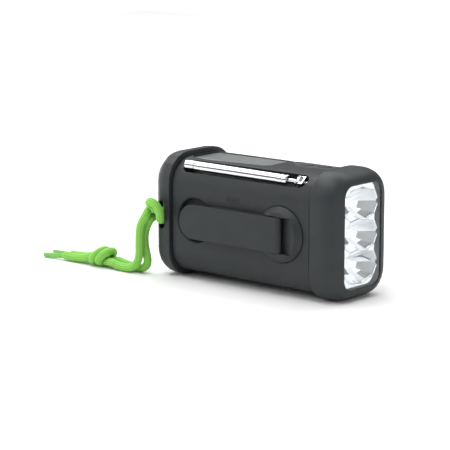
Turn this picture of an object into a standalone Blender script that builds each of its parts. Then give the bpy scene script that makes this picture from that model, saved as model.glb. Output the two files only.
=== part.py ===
"""Hand-crank emergency radio with a torch head, a solar panel, a folding crank and a lanyard.

Lengths in this file are millimetres on the bench: x from the groove beside the end bumper,
y from the middle of the body, z from its mid height. SHIFT and MM turn them into metres in
the part's own frame: +X towards the torch, -Y out of the crank face, +Z up, and the origin
under the middle of the object, on the surface that it stands on.
"""

from math import acos, atan2, cos, degrees, pi, radians, sin, sqrt, tan

import bmesh
import bpy
from mathutils import Matrix, Vector

MM = 0.001
GAP = 0.3  # between a piece and its neighbour
THROUGH = 1.0  # how far a cutter runs past the face it opens

# Body section
HALF_DEPTH = 27.25
TOP = 35.2
BOTTOM = -34.5
CORNER = 16.0
WALL = 2.5
SEAM = 105.0
GROOVE = 1.2
ROOF = 31.9  # underside of the top wall

# End bumper and torch head
BUMPER_LENGTH = 14.5
BUMPER_HALF_DEPTH = 29.2
PROUD_TOP = 38.0
PROUD_BOTTOM = -37.5
PROUD_CORNER = 17.5
BUMPER_ROUND = 10.0
HEAD_END = 123.0
HEAD_ROUND = (11.0, 9.5, 7.0)  # length, inset of each side, inset of top and bottom
LENS_HALF = (17.4, 30.3)
LENS_CORNER = 7.0
LED_PITCH = 18.0

# Crank, heights measured out from the crank face
HUB_X = 84.1
HUB_RADIUS = 16.5
PLATEAU = 3.9
ARM_OUT = 4.95
ARM_PLATE = 1.8
ARM_HALF = 10.35
ARM_END_X = 21.1
PIN_X = 84.3
PIN_OUT = 2.6
POCKET_X = 18.6
POCKET_RADIUS = 13.2
KNOB_RADIUS = 9.6

# Gears
MODULE = 0.8
WHEEL_TEETH = 40
PINION_TEETH = 14
ADDENDUM = 0.8  # in modules
DEDENDUM = 1.15  # in modules
BACKLASH = 0.16
CENTRES = MODULE * (WHEEL_TEETH + PINION_TEETH) / 2
IDLER_X = HUB_X - CENTRES
ROTOR_ANGLE = radians(150)
ROTOR_X = IDLER_X + CENTRES * cos(ROTOR_ANGLE)
ROTOR_Z = CENTRES * sin(ROTOR_ANGLE)

# Aerial: it leans out of its slot by AERIAL_LEAN towards the tip
AERIAL_PIVOT = (92.6, -20.2, 30.7)
AERIAL_TURN = radians(52)  # direction of the slot's mouth, up from the front
AERIAL_LEAN = radians(0.95)
AERIAL_ROOT = 8.3
AERIAL_TIP = 77.8
CAP_END = 85.5
SLOT_RADIUS = 5.2
WAY_RADIUS = 3.35

# Rear controls
TUNING = (86.0, 12.0)
VOLUME = (88.0, -12.0)
BAND = (68.0, 12.0)
PORT = (66.0, -13.0)
SPEAKER = (38.0, 0.0)
SCREWS = ((9.0, 27.0), (97.0, 27.0), (9.0, -27.0), (97.0, -27.0))
PLATE_POSTS = ((52.0, -18.0), (73.3, 20.0), (95.0, -18.0))

SHIFT = Vector(
    (
        (BUMPER_LENGTH - HEAD_END) / 2,
        (HALF_DEPTH + ARM_OUT - BUMPER_HALF_DEPTH) / 2,
        -PROUD_BOTTOM,
    )
)

# Outline axes for a prism or a turned shape: (across, up, along)
ALONG_X = Matrix(((0, 0, 1), (1, 0, 0), (0, 1, 0)))
OUT_OF_FACE = Matrix(((1, 0, 0), (0, 0, -1), (0, 1, 0)))
ALONG_Z = Matrix.Identity(3)


def aerial_axes():
    """Across the slot, out of the slot, and along the aerial from its tip to its root."""
    mouth = Vector((0, -cos(AERIAL_TURN), sin(AERIAL_TURN)))
    across = Vector((0, sin(AERIAL_TURN), cos(AERIAL_TURN)))
    out = mouth * cos(AERIAL_LEAN) + Vector((sin(AERIAL_LEAN), 0, 0))
    return Matrix((across, out, across.cross(out))).transposed()


AERIAL = aerial_axes()


# ---------------------------------------------------------------- scene and materials


def clear_scene():
    for obj in list(bpy.data.objects):
        bpy.data.objects.remove(obj, do_unlink=True)


def new_collection(name):
    made = bpy.data.collections.new(name)
    bpy.context.scene.collection.children.link(made)
    return made


def make_material(name, colour, roughness, metallic=0.0, alpha=1.0):
    made = bpy.data.materials.new(name)
    made.use_nodes = True
    shader = made.node_tree.nodes["Principled BSDF"]
    shader.inputs["Base Color"].default_value = (*colour, 1)
    shader.inputs["Roughness"].default_value = roughness
    shader.inputs["Metallic"].default_value = metallic
    shader.inputs["Alpha"].default_value = alpha
    return made


clear_scene()
PARTS = new_collection("emergency_radio")
CUTTERS = new_collection("cutters")

SHELL = make_material("soft_touch_shell", (0.045, 0.05, 0.053), 0.6)
RUBBER = make_material("bumper_rubber", (0.04, 0.045, 0.048), 0.68)
BLACK = make_material("black_plastic", (0.02, 0.02, 0.022), 0.45)
CHROME = make_material("chrome", (0.85, 0.86, 0.87), 0.08, 1.0)
STEEL = make_material("steel", (0.55, 0.56, 0.57), 0.3, 1.0)
CLEAR = make_material("clear_plastic", (0.95, 0.97, 0.98), 0.03, 0.0, 0.25)
CELL = make_material("solar_cell", (0.12, 0.13, 0.15), 0.25)
BOARD = make_material("circuit_board", (0.03, 0.16, 0.07), 0.5)
LED_WHITE = make_material("led_epoxy", (0.95, 0.95, 0.9), 0.1)
GEAR = make_material("acetal", (0.85, 0.84, 0.78), 0.4)
PAPER = make_material("cone_paper", (0.03, 0.03, 0.03), 0.85)
FERRITE = make_material("ferrite", (0.06, 0.055, 0.05), 0.7)
WRAP = make_material("cell_wrap", (0.05, 0.18, 0.4), 0.4)
CORD = make_material("lanyard_braid", (0.2, 0.62, 0.06), 0.8)


# ---------------------------------------------------------------- outlines


def arc(centre, radius, start, end, steps):
    """Points from start to end degrees around centre."""
    turn = [radians(start + (end - start) * i / steps) for i in range(steps + 1)]
    return [(centre[0] + radius * cos(a), centre[1] + radius * sin(a)) for a in turn]


def rounded(low, high, radii, steps=6):
    """A rectangle with a radius for each corner: low left, low right, high right, high left."""
    if not isinstance(radii, tuple):
        radii = (radii,) * 4
    corners = ((low[0], low[1]), (high[0], low[1]), (high[0], high[1]), (low[0], high[1]))
    inward = ((1, 1), (-1, 1), (-1, -1), (1, -1))
    points = []
    for corner, way, radius, start in zip(corners, inward, radii, (180, 270, 0, 90)):
        if radius == 0:
            points.append(corner)
            continue
        centre = (corner[0] + way[0] * radius, corner[1] + way[1] * radius)
        points += arc(centre, radius, start, start + 90, steps)
    return points


def filleted(corners, grow=0.0, steps=4):
    """A convex outline through (across, up, radius) corners, anticlockwise, moved out by grow."""
    points = []
    for i, (across, up, radius) in enumerate(corners):
        here = Vector((across, up))
        arriving = here - Vector(corners[i - 1][:2])
        leaving = Vector(corners[(i + 1) % len(corners)][:2]) - here
        first = Vector((arriving.y, -arriving.x)).normalized()
        last = Vector((leaving.y, -leaving.x)).normalized()
        halfway = (first + last).normalized()
        centre = here - halfway * radius / halfway.dot(first)
        start = degrees(atan2(first.y, first.x))
        points += arc(centre, radius + grow, start, start + degrees(first.angle(last)), steps)
    return points


def circle(centre, radius, steps=32):
    return arc(centre, radius, 0, 360, steps)[:-1]


def involute_angle(radius, base):
    """Polar angle of an involute of the base circle, at this radius."""
    pressure = acos(base / radius)
    return tan(pressure) - pressure


def gear_outline(teeth, turn, centre=(0, 0), flank_steps=1):
    """An external gear's outline, with a tooth centred on the angle turn."""
    pitch = MODULE * teeth / 2
    base = pitch * cos(radians(20))
    tip = pitch + ADDENDUM * MODULE
    root = pitch - DEDENDUM * MODULE
    foot = max(base, root) + 1e-6
    half = pi / (2 * teeth) - BACKLASH / 4 / pitch + involute_angle(pitch, base)
    radii = [foot + (tip - foot) * i / flank_steps for i in range(flank_steps + 1)]
    points = []
    for tooth in range(teeth):
        middle = turn + 2 * pi * tooth / teeth
        flank = [(r, half - involute_angle(r, base)) for r in radii]
        if root < foot:
            flank.insert(0, (root, flank[0][1]))
        side = [(r, middle - a) for r, a in flank] + [(r, middle + a) for r, a in reversed(flank)]
        points += [(centre[0] + r * cos(a), centre[1] + r * sin(a)) for r, a in side]
    return points


# ---------------------------------------------------------------- shapes


def seat(axes, at):
    """The world matrix of a piece whose own origin is at this bench point."""
    place = (Vector(at) + SHIFT) * MM
    return Matrix.Translation(place) @ axes.to_4x4()


def add(name, mesh, matrix, material):
    """A part where a material is given, and a cutter where it is None."""
    obj = bpy.data.objects.new(name, mesh)
    obj.matrix_world = matrix
    if material is None:
        CUTTERS.objects.link(obj)
        obj.hide_render = True
        obj.display_type = "WIRE"
        return obj
    PARTS.objects.link(obj)
    mesh.materials.append(material)
    mesh.shade_smooth()
    mesh.set_sharp_from_angle(angle=radians(35))
    return obj


def mesh_from(name, build):
    """A mesh that build fills through a bmesh, with its faces turned outwards."""
    mesh = bpy.data.meshes.new(name)
    work = bmesh.new()
    build(work)
    bmesh.ops.recalc_face_normals(work, faces=work.faces[:])
    work.to_mesh(mesh)
    work.free()
    return mesh


def prism(name, outlines, low, high, axes=ALONG_X, at=(0, 0, 0), material=None):
    """Outlines, the first one outside and the rest holes, carried from low to high along an axis."""
    curve = bpy.data.curves.new(name + "_outline", "CURVE")
    curve.dimensions = "2D"
    curve.fill_mode = "BOTH"
    curve.extrude = (high - low) / 2 * MM
    for outline in outlines:
        spline = curve.splines.new("POLY")
        spline.points.add(len(outline) - 1)
        spline.use_cyclic_u = True
        for point, (across, up) in zip(spline.points, outline):
            point.co = (across * MM, up * MM, 0, 1)
    guide = bpy.data.objects.new(name + "_outline", curve)
    CUTTERS.objects.link(guide)
    graph = bpy.context.evaluated_depsgraph_get()
    mesh = bpy.data.meshes.new_from_object(guide.evaluated_get(graph))
    bpy.data.objects.remove(guide, do_unlink=True)
    mesh.name = name
    mesh.materials.clear()
    work = bmesh.new()
    work.from_mesh(mesh)
    bmesh.ops.remove_doubles(work, verts=work.verts, dist=1e-6)
    bmesh.ops.translate(work, verts=work.verts, vec=(0, 0, (low + high) / 2 * MM))
    bmesh.ops.recalc_face_normals(work, faces=work.faces[:])
    work.to_mesh(mesh)
    work.free()
    return add(name, mesh, seat(axes, at), material)


def turned(name, profile, axes, at, material=None, steps=24):
    """A profile of (radius, height) points, top to bottom down its outer side, turned about an axis.

    A profile that starts and ends on the axis makes a solid. Any other is closed into a ring.
    """
    mesh = bpy.data.meshes.new(name)
    points = [(radius * MM, 0, height * MM) for radius, height in profile]
    edges = [(i, i + 1) for i in range(len(points) - 1)]
    if profile[0][0] > 0:
        edges.append((len(points) - 1, 0))
    mesh.from_pydata(points, edges, [])
    obj = add(name, mesh, seat(axes, at), material)
    screw = obj.modifiers.new("turn", "SCREW")
    screw.axis = "Z"
    screw.steps = steps
    screw.render_steps = steps
    screw.use_merge_vertices = True
    screw.merge_threshold = 0.00001
    screw.use_smooth_shade = True
    return obj


def rod(name, radius, low, high, axes, at, material=None, steps=16):
    """A plain cylinder from low to high along an axis."""

    def build(work):
        depth = (high - low) * MM
        bmesh.ops.create_cone(
            work,
            cap_ends=True,
            segments=steps,
            radius1=radius * MM,
            radius2=radius * MM,
            depth=depth,
        )
        bmesh.ops.translate(work, verts=work.verts, vec=(0, 0, (low + high) / 2 * MM))

    return add(name, mesh_from(name, build), seat(axes, at), material)


def block(name, low, high, material=None, axes=ALONG_Z, at=(0, 0, 0)):
    """A box between two corners."""
    size = [(b - a) * MM for a, b in zip(low, high)]
    middle = [(a + b) / 2 * MM for a, b in zip(low, high)]

    def build(work):
        bmesh.ops.create_cube(work, size=1)
        bmesh.ops.scale(work, vec=size, verts=work.verts)
        bmesh.ops.translate(work, vec=middle, verts=work.verts)

    return add(name, mesh_from(name, build), seat(axes, at), material)


def loft(name, sections, material=None):
    """A closed solid through sections of equal point counts, each an x and an outline across it."""

    def build(work):
        rings = []
        for x, outline in sections:
            rings.append([work.verts.new((x * MM, y * MM, z * MM)) for y, z in outline])
        count = len(rings[0])
        for near, far in zip(rings, rings[1:]):
            for i in range(count):
                j = (i + 1) % count
                work.faces.new((near[i], near[j], far[j], far[i]))
        work.faces.new(rings[0])
        work.faces.new(rings[-1])

    return add(name, mesh_from(name, build), seat(ALONG_Z, (0, 0, 0)), material)


def tube(name, points, radius, resolution=2):
    """A cord through points that each hold x, y, z and a share of the radius."""
    curve = bpy.data.curves.new(name, "CURVE")
    curve.dimensions = "3D"
    curve.bevel_depth = radius * MM
    curve.bevel_resolution = resolution
    curve.use_fill_caps = True
    spline = curve.splines.new("POLY")
    spline.points.add(len(points) - 1)
    for point, place in zip(spline.points, points):
        point.co = (*(place.xyz * MM), 1)
        point.radius = place.w
    obj = bpy.data.objects.new(name, curve)
    obj.matrix_world = seat(ALONG_Z, (0, 0, 0))
    curve.materials.append(CORD)
    PARTS.objects.link(obj)
    return obj


def smooth_through(points, steps):
    """Points of a Catmull-Rom curve through the given ones, each given a radius share of 1 if it has none."""
    knots = [Vector((*p, 1)[:4]) for p in points]
    ends = [2 * knots[0] - knots[1], *knots, 2 * knots[-1] - knots[-2]]
    found = []
    for a, b, c, d in zip(ends, ends[1:], ends[2:], ends[3:]):
        for i in range(steps):
            t = i / steps
            found.append(
                0.5
                * (
                    2 * b
                    + (c - a) * t
                    + (2 * a - 5 * b + 4 * c - d) * t**2
                    + (3 * b - a - 3 * c + d) * t**3
                )
            )
    return [*found, knots[-1]]


def boolean(obj, tools, operation):
    for tool in tools:
        modifier = obj.modifiers.new(tool.name, "BOOLEAN")
        modifier.operation = operation
        modifier.solver = "EXACT"
        modifier.object = tool
    return obj


def cut(obj, *tools):
    return boolean(obj, tools, "DIFFERENCE")


def join(obj, *tools):
    return boolean(obj, tools, "UNION")


def on_axis(name, at, *pieces):
    """Parents moving pieces to an empty on their joint's axis."""
    pivot = bpy.data.objects.new(name, None)
    pivot.empty_display_size = 0.01
    pivot.matrix_world = seat(ALONG_Z, at)
    PARTS.objects.link(pivot)
    for piece in pieces:
        world = piece.matrix_world.copy()
        piece.parent = pivot
        piece.matrix_parent_inverse = seat(ALONG_Z, at).inverted()
        piece.matrix_basis = world
    return pivot


# ---------------------------------------------------------------- casings


def shell_outline(inner, outer_side, corners):
    """Half of the body's section, from the parting plane to one side."""
    low = (min(inner, outer_side), BOTTOM)
    high = (max(inner, outer_side), TOP)
    return rounded(low, high, corners)


def aerial_slot(name):
    """A round-bottomed trough along the aerial, with a round end at its root."""
    mouth = 9.0
    trough = arc((0, 0), SLOT_RADIUS, 180, 360, 12)
    trough += [(SLOT_RADIUS, mouth), (-SLOT_RADIUS, mouth)]
    root = 1.0
    run = prism(name, [trough], -CAP_END + 2.2, root, AERIAL, AERIAL_PIVOT)
    steps = []
    # The corners beside the cap's end are rounded off in steps.
    for i, (radius, past) in enumerate(((4.8, -0.9), (4.3, -0.2), (3.7, 0.5)), 1):
        groove = arc((0, 0), radius, 180, 360, 12) + [(radius, mouth), (-radius, mouth)]
        far = -CAP_END - past
        steps.append(prism(f"{name}_step_{i}", [groove], far, far + 4, AERIAL, AERIAL_PIVOT))
    upright = Matrix((AERIAL.col[2], AERIAL.col[0], AERIAL.col[1])).transposed()
    middle = Vector(AERIAL_PIVOT) + root * AERIAL.col[2]
    end = rod(name + "_end", SLOT_RADIUS, -SLOT_RADIUS, mouth, upright, middle, steps=28)
    bore = rod(name + "_bore", 1.0, 4.0, 8.4, AERIAL, AERIAL_PIVOT, steps=12)
    return run, end, bore, *steps


def aerial_way(name):
    """The way that the sections slide out along while the aerial is folded in."""
    return rod(name, WAY_RADIUS, -CAP_END - 24, -CAP_END, AERIAL, AERIAL_PIVOT, steps=32)


def thumb_well(name):
    """The cup behind the crank's free end, which a fingertip reaches into."""
    at = (POCKET_X, 0, 0)
    floor = HALF_DEPTH - 6.2
    outer = POCKET_RADIUS + 1.8
    cup = rod(name + "_cup", outer, floor - 1.8, HALF_DEPTH - 1, OUT_OF_FACE, at, steps=32)
    well = turned(
        name,
        [
            (0, HALF_DEPTH + 1),
            (outer, HALF_DEPTH + 1),
            (POCKET_RADIUS, HALF_DEPTH - 0.8),
            (POCKET_RADIUS, floor + 1.2),
            (POCKET_RADIUS - 1.2, floor),
            (0, floor),
        ],
        OUT_OF_FACE,
        at,
        steps=36,
    )
    return cup, well


# Corners seen from above, each with its radius
SOLAR = (
    (2.3, -9.2, 2.0),
    (5.6, -12.4, 3.0),
    (16.5, -13.6, 8.0),
    (60.2, -10.3, 5.0),
    (59.4, 14.2, 3.0),
    (2.3, 13.2, 3.0),
)
PAD = ((63.6, 9.4, 3.0), (73.2, 0.6, 5.0), (98.4, 2.6, 3.0), (98.4, 14.2, 3.0), (63.6, 14.2, 2.0))
BUTTONS = {"torch": (76.5, 8.2), "siren": (88.5, 8.4)}


def top_recesses():
    """Cutters in both casings for the solar panel, the control pad and the button stems."""
    floor = 33.4
    tools = [
        prism("solar_recess", [filleted(SOLAR, GAP)], floor, TOP + 2, ALONG_Z),
        prism("pad_recess", [filleted(PAD, GAP)], floor, TOP + 2, ALONG_Z),
    ]
    for name, (x, y) in BUTTONS.items():
        tools.append(rod(name + "_stem_hole", 1.8, ROOF - 1, TOP, ALONG_Z, (x, y, 0), steps=16))
    return tools


def screw_posts(name, low, high, radius):
    """Posts along Y at the four casing screws; low and high count outwards from the middle."""
    return [
        rod(f"{name}_{i}", radius, low, high, OUT_OF_FACE, (x, 0, z), steps=16)
        for i, (x, z) in enumerate(SCREWS, 1)
    ]


def front_casing(tops):
    outline = shell_outline(-GAP / 2, -HALF_DEPTH, (CORNER, 0, 0, CORNER))
    casing = prism("front_casing", [outline], GROOVE, SEAM - GAP / 2, material=SHELL)
    inner = HALF_DEPTH - WALL
    # The bevelled corner leaves meat behind the aerial's trough.
    cavity = arc((-11.25, BOTTOM + CORNER), CORNER - WALL, 180, 270, 6)
    cavity += [(THROUGH, BOTTOM + WALL), (THROUGH, ROOF), (-7.0, ROOF), (-inner, 18.0)]
    cut(casing, prism("front_cavity", [cavity], GROOVE + WALL, SEAM - 2.8))
    cup, well = thumb_well("thumb_well")
    posts = screw_posts("front_post", GAP + GAP / 2, 16.5, 3.2)
    stands = [
        rod(f"plate_stand_{i}", 2.4, 16.9, HALF_DEPTH - 1, OUT_OF_FACE, (x, 0, z), steps=12)
        for i, (x, z) in enumerate(PLATE_POSTS, 1)
    ]
    join(casing, cup, *front_roots(), *posts, *stands)
    hub_at = (HUB_X, 0, 0)
    floor = HALF_DEPTH - 1.2
    seat_cut = rod("hub_seat", HUB_RADIUS + GAP, floor, HALF_DEPTH + 1, OUT_OF_FACE, hub_at, steps=48)
    bore = rod("hub_bore", 3.15, 20, HALF_DEPTH, OUT_OF_FACE, hub_at)
    holes = [
        rod(f"front_pilot_{i}", 1.45, 0, 14, OUT_OF_FACE, (x, 0, z), steps=12)
        for i, (x, z) in enumerate(SCREWS, 1)
    ]
    cut(casing, well, seat_cut, bore, *aerial_slot("aerial_slot"), *holes, *tops)
    return cut(casing, aerial_way("casing_way"))


def front_roots():
    """Webs that tie the two low screw posts into the rounded corner of the front wall."""
    return [
        rod(f"low_root_{i}", 3.2, 14, 21.5, OUT_OF_FACE, (x, 0, z), steps=16)
        for i, (x, z) in enumerate(SCREWS[2:], 1)
    ]


def grille_slots():
    """Slots across the speaker, shortened towards the top and bottom of its round field."""
    field = 16.5
    pitch = 4.4
    tools = []
    for row in range(-3, 4):
        half = sqrt(field**2 - (row * pitch) ** 2)
        x, z = SPEAKER
        middle = z + row * pitch
        outline = rounded((x - half, middle - 1.1), (x + half, middle + 1.1), 1.0, 1)
        slot = prism(f"grille_slot_{row + 4}", [outline], -28, -24, OUT_OF_FACE)
        tools.append(slot)
    return tools


def rear_casing(tops):
    outline = shell_outline(GAP / 2, HALF_DEPTH, (0, CORNER, CORNER, 0))
    casing = prism("rear_casing", [outline], GROOVE, SEAM - GAP / 2, material=SHELL)
    inner = HALF_DEPTH - WALL
    cavity = [(-THROUGH, BOTTOM + WALL)]
    cavity += arc((11.25, BOTTOM + CORNER), CORNER - WALL, 270, 360, 6)
    cavity += arc((11.25, ROOF - CORNER + WALL), CORNER - WALL, 0, 90, 6)
    cavity.append((-THROUGH, ROOF))
    cut(casing, prism("rear_cavity", [cavity], GROOVE + WALL, SEAM - 2.8))
    join(casing, *screw_posts("rear_post", -inner, -GAP - GAP / 2, 4.0))
    tools = list(grille_slots())
    for i, (x, z) in enumerate(SCREWS, 1):
        tools.append(rod(f"rear_shank_{i}", 1.45, -22, 0, OUT_OF_FACE, (x, 0, z), steps=12))
        tools.append(rod(f"rear_sink_{i}", 2.9, -30, -18.5, OUT_OF_FACE, (x, 0, z), steps=16))
    for name, (x, z), radius in (("tuning", TUNING, 9.0), ("volume", VOLUME, 7.0)):
        at = (x, 0, z)
        floor = 1.3 - HALF_DEPTH
        tools.append(rod(name + "_seat", radius + 0.5, -30, floor, OUT_OF_FACE, at, steps=28))
        tools.append(rod(name + "_hole", 2.7, -30, -20, OUT_OF_FACE, at, steps=16))
    x, z = BAND
    tools.append(block("band_slot", (x - 5.2, 20, z - 1.8), (x + 5.2, 30, z + 1.8)))
    x, z = PORT
    tools.append(block("port_seat", (x - 8, HALF_DEPTH - 1.4, z - 4.5), (x + 8, 30, z + 4.5)))
    tools.append(block("port_window", (x - 5.3, 20, z - 2.4), (x + 5.3, 30, z + 2.4)))
    tools.append(rod("wire_hole", 3, SEAM - 4, SEAM + 1, ALONG_X, (0, 14, -20), steps=16))
    return cut(casing, *tools, *tops)


# ---------------------------------------------------------------- bumper and head


def rounded_end(start, reach, half_depth, insets, steps=5):
    """Sections that close a proud end: reach is signed, and insets are for the sides and the top."""
    sections = []
    for i in range(steps + 1):
        angle = pi / 2 * i / steps
        side, top = (inset * (1 - cos(angle)) for inset in insets)
        low = (-half_depth + side, PROUD_BOTTOM + top)
        high = (half_depth - side, PROUD_TOP - top)
        radius = PROUD_CORNER - max(side, top)
        sections.append((start + reach * sin(angle), rounded(low, high, radius)))
    return sections


def end_bumper():
    straight = BUMPER_LENGTH - BUMPER_ROUND
    full = rounded(
        (-BUMPER_HALF_DEPTH, PROUD_BOTTOM), (BUMPER_HALF_DEPTH, PROUD_TOP), PROUD_CORNER
    )
    ends = rounded_end(-straight, -BUMPER_ROUND, BUMPER_HALF_DEPTH, (BUMPER_ROUND, BUMPER_ROUND))
    bumper = loft("end_bumper", [(0, full), *ends], RUBBER)
    lip = 1.5
    spigot = rounded(
        (-HALF_DEPTH + lip, BOTTOM + lip), (HALF_DEPTH - lip, TOP - lip), CORNER - lip
    )
    join(bumper, prism("bumper_spigot", [spigot], -2, GROOVE - GAP))
    hollow = rounded((-14, -30), (23, 30), 8, 4)
    # The lanyard's slot runs in at the front and out at the end, and leaves a post at the corner.
    front_mouth = rounded((-9.5, -8), (-3.9, 9), 2.7, 4)
    front_way = prism("lanyard_way_front", [front_mouth], 18.0, 32, OUT_OF_FACE)
    end_mouth = rounded((-23.6, -8), (-18.0, 9), 2.7, 4)
    side_way = prism("lanyard_way_side", [end_mouth], -16, -3.9, ALONG_X)
    cut(bumper, prism("bumper_hollow", [hollow], -11, 3), front_way, side_way)
    return cut(bumper, aerial_way("bumper_way"))


def torch_head():
    length, side, top = HEAD_ROUND
    start = HEAD_END - length
    full = rounded((-HALF_DEPTH, PROUD_BOTTOM), (HALF_DEPTH, PROUD_TOP), PROUD_CORNER)
    ends = rounded_end(start, length, HALF_DEPTH, (side, top))
    head = loft("torch_head", [(SEAM + GAP / 2, full), *ends], RUBBER)
    hollow = rounded((-24.6, -34.8), (24.6, 35.3), 15)
    opening = rounded((-LENS_HALF[0], -LENS_HALF[1]), LENS_HALF, LENS_CORNER, 6)
    cut(head, prism("head_hollow", [hollow], SEAM - 1, 115.0))
    return cut(head, prism("lens_opening", [opening], SEAM - 1, HEAD_END + 2))


def lens_shape(shrink):
    half_y = LENS_HALF[0] - shrink
    half_z = LENS_HALF[1] - shrink
    return rounded((-half_y, -half_z), (half_y, half_z), LENS_CORNER - shrink, 5)


def torch_parts():
    prism("lens", [lens_shape(GAP)], 120.9, 122.4, material=CLEAR)
    reflector = prism("reflector", [lens_shape(GAP)], 107.1, 120.6, material=CHROME)
    cups = []
    bowl = [(0, 121.5), (9.2, 121.5), (9.0, 118.2), (8.1, 115.6), (6.2, 112.6), (4.2, 110.4)]
    bowl += [(3.2, 109.4), (0, 109.4)]
    for i, z in enumerate((LED_PITCH, 0, -LED_PITCH), 1):
        at = (0, 0, z)
        # Deep cups that meet each other above and below, as the real ones do.
        cup = turned(f"reflector_cup_{i}", bowl, ALONG_X, at)
        cups += [cup, rod(f"led_bore_{i}", 2.8, 106, 110, ALONG_X, at)]
        dome = [(0, 114.6), (1.4, 114.2), (2.2, 113.3), (2.5, 112.1), (2.5, 107.2), (0, 107.2)]
        turned(f"led_{i}", dome, ALONG_X, at, LED_WHITE, steps=20)
    cut(reflector, *cups)
    prism("led_board", [lens_shape(GAP)], 105.3, 106.8, material=BOARD)


# ---------------------------------------------------------------- crank and gears


def crank_hub():
    face = HALF_DEPTH
    hub = turned(
        "crank_hub",
        [
            (0, face + PLATEAU),
            (12.8, face + PLATEAU),
            (13.3, face + PLATEAU - 0.2),
            (16.1, face + 1.0),
            (HUB_RADIUS, face + 0.5),
            (HUB_RADIUS, face - 0.9),
            (3.0, face - 0.9),
            (3.0, face - 7.3),
            (2.0, face - 7.6),
            (2.0, face - 12.6),
            (0, face - 12.6),
        ],
        OUT_OF_FACE,
        (HUB_X, 0, 0),
        SHELL,
        steps=48,
    )
    # The arm's seat: level under the arm, then a ramp that its back meets when it is folded out.
    ramp_start = 87.2
    ramp_end = 96.4
    side = [(60, 0), (ramp_start, 0), (ramp_end, PLATEAU + 0.1), (ramp_end, 8), (60, 8)]
    profile = [(x, -face - out) for x, out in side]
    arm_seat = prism("arm_seat", [profile], -ARM_HALF - 0.35, ARM_HALF + 0.35, ALONG_Z)
    pin_hole = rod("hub_pin_hole", 1.15, -13.0, 13.0, ALONG_Z, (PIN_X, -face - PIN_OUT, 0))
    return cut(hub, arm_seat, pin_hole)


def crank_arm():
    face = HALF_DEPTH
    end = arc((ARM_END_X, 0), ARM_HALF, 90, 270, 16)
    outline = [*end, (PIN_X, -ARM_HALF), (PIN_X, ARM_HALF)]
    arm = prism("crank_arm", [outline], face + GAP, face + ARM_OUT, OUT_OF_FACE, material=SHELL)
    at = (PIN_X, -face - PIN_OUT, 0)
    root = rod("arm_root", ARM_OUT - PIN_OUT, -ARM_HALF, ARM_HALF, ALONG_Z, at, steps=28)
    join(arm, root)
    under = face + ARM_OUT - ARM_PLATE
    bare_end = block("arm_bare_end", (0, -under, -12), (33.2, -face + 2, 12))
    trough = block("arm_trough", (30, -under, -8.7), (72, -face + 2, 8.7))
    cut(arm, bare_end, trough)
    boss = rod("knob_boss", 2.0, face + 1.0, under + 0.5, OUT_OF_FACE, (ARM_END_X, 0, 0), steps=20)
    join(arm, boss)
    pilot = rod("knob_pilot", 1.0, face, face + 2.9, OUT_OF_FACE, (ARM_END_X, 0, 0), steps=12)
    pin_hole = rod("arm_pin_hole", 1.15, -12, 12, ALONG_Z, at, steps=16)
    return cut(arm, pilot, pin_hole)


def crank_pieces():
    face = HALF_DEPTH
    hub = crank_hub()
    arm = crank_arm()
    pin_at = (PIN_X, -face - PIN_OUT, 0)
    pin = rod("crank_hinge_pin", 1.0, -12.7, 12.7, ALONG_Z, pin_at, STEEL)
    knob = turned(
        "crank_knob",
        [
            (2.15, face + 2.85),
            (8.9, face + 2.85),
            (KNOB_RADIUS, face + 2.3),
            (KNOB_RADIUS, face + 0.9),
            (9.0, face + GAP),
            (8.3, face + GAP),
            (7.6, face + 0.9),
            (6.2, face + 1.3),
            (4.8, face + 0.9),
            (4.3, face + GAP),
            (3.6, face + GAP),
            (3.6, face + 1.3),
            (2.15, face + 1.3),
        ],
        OUT_OF_FACE,
        (ARM_END_X, 0, 0),
        BLACK,
        steps=28,
    )
    screw = turned(
        "knob_screw",
        [
            (0, face + 2.5),
            (0.8, face + 2.5),
            (0.8, face + 0.95),
            (3.2, face + 0.95),
            (3.2, face + GAP),
            (0, face + GAP),
        ],
        OUT_OF_FACE,
        (ARM_END_X, 0, 0),
        STEEL,
        steps=20,
    )
    on_axis("crank_spin_axis", (HUB_X, -face, 0), hub, pin)
    on_axis("crank_fold_axis", pin_at, arm, screw)
    on_axis("knob_axis", (ARM_END_X, -face, 0), knob)


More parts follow.
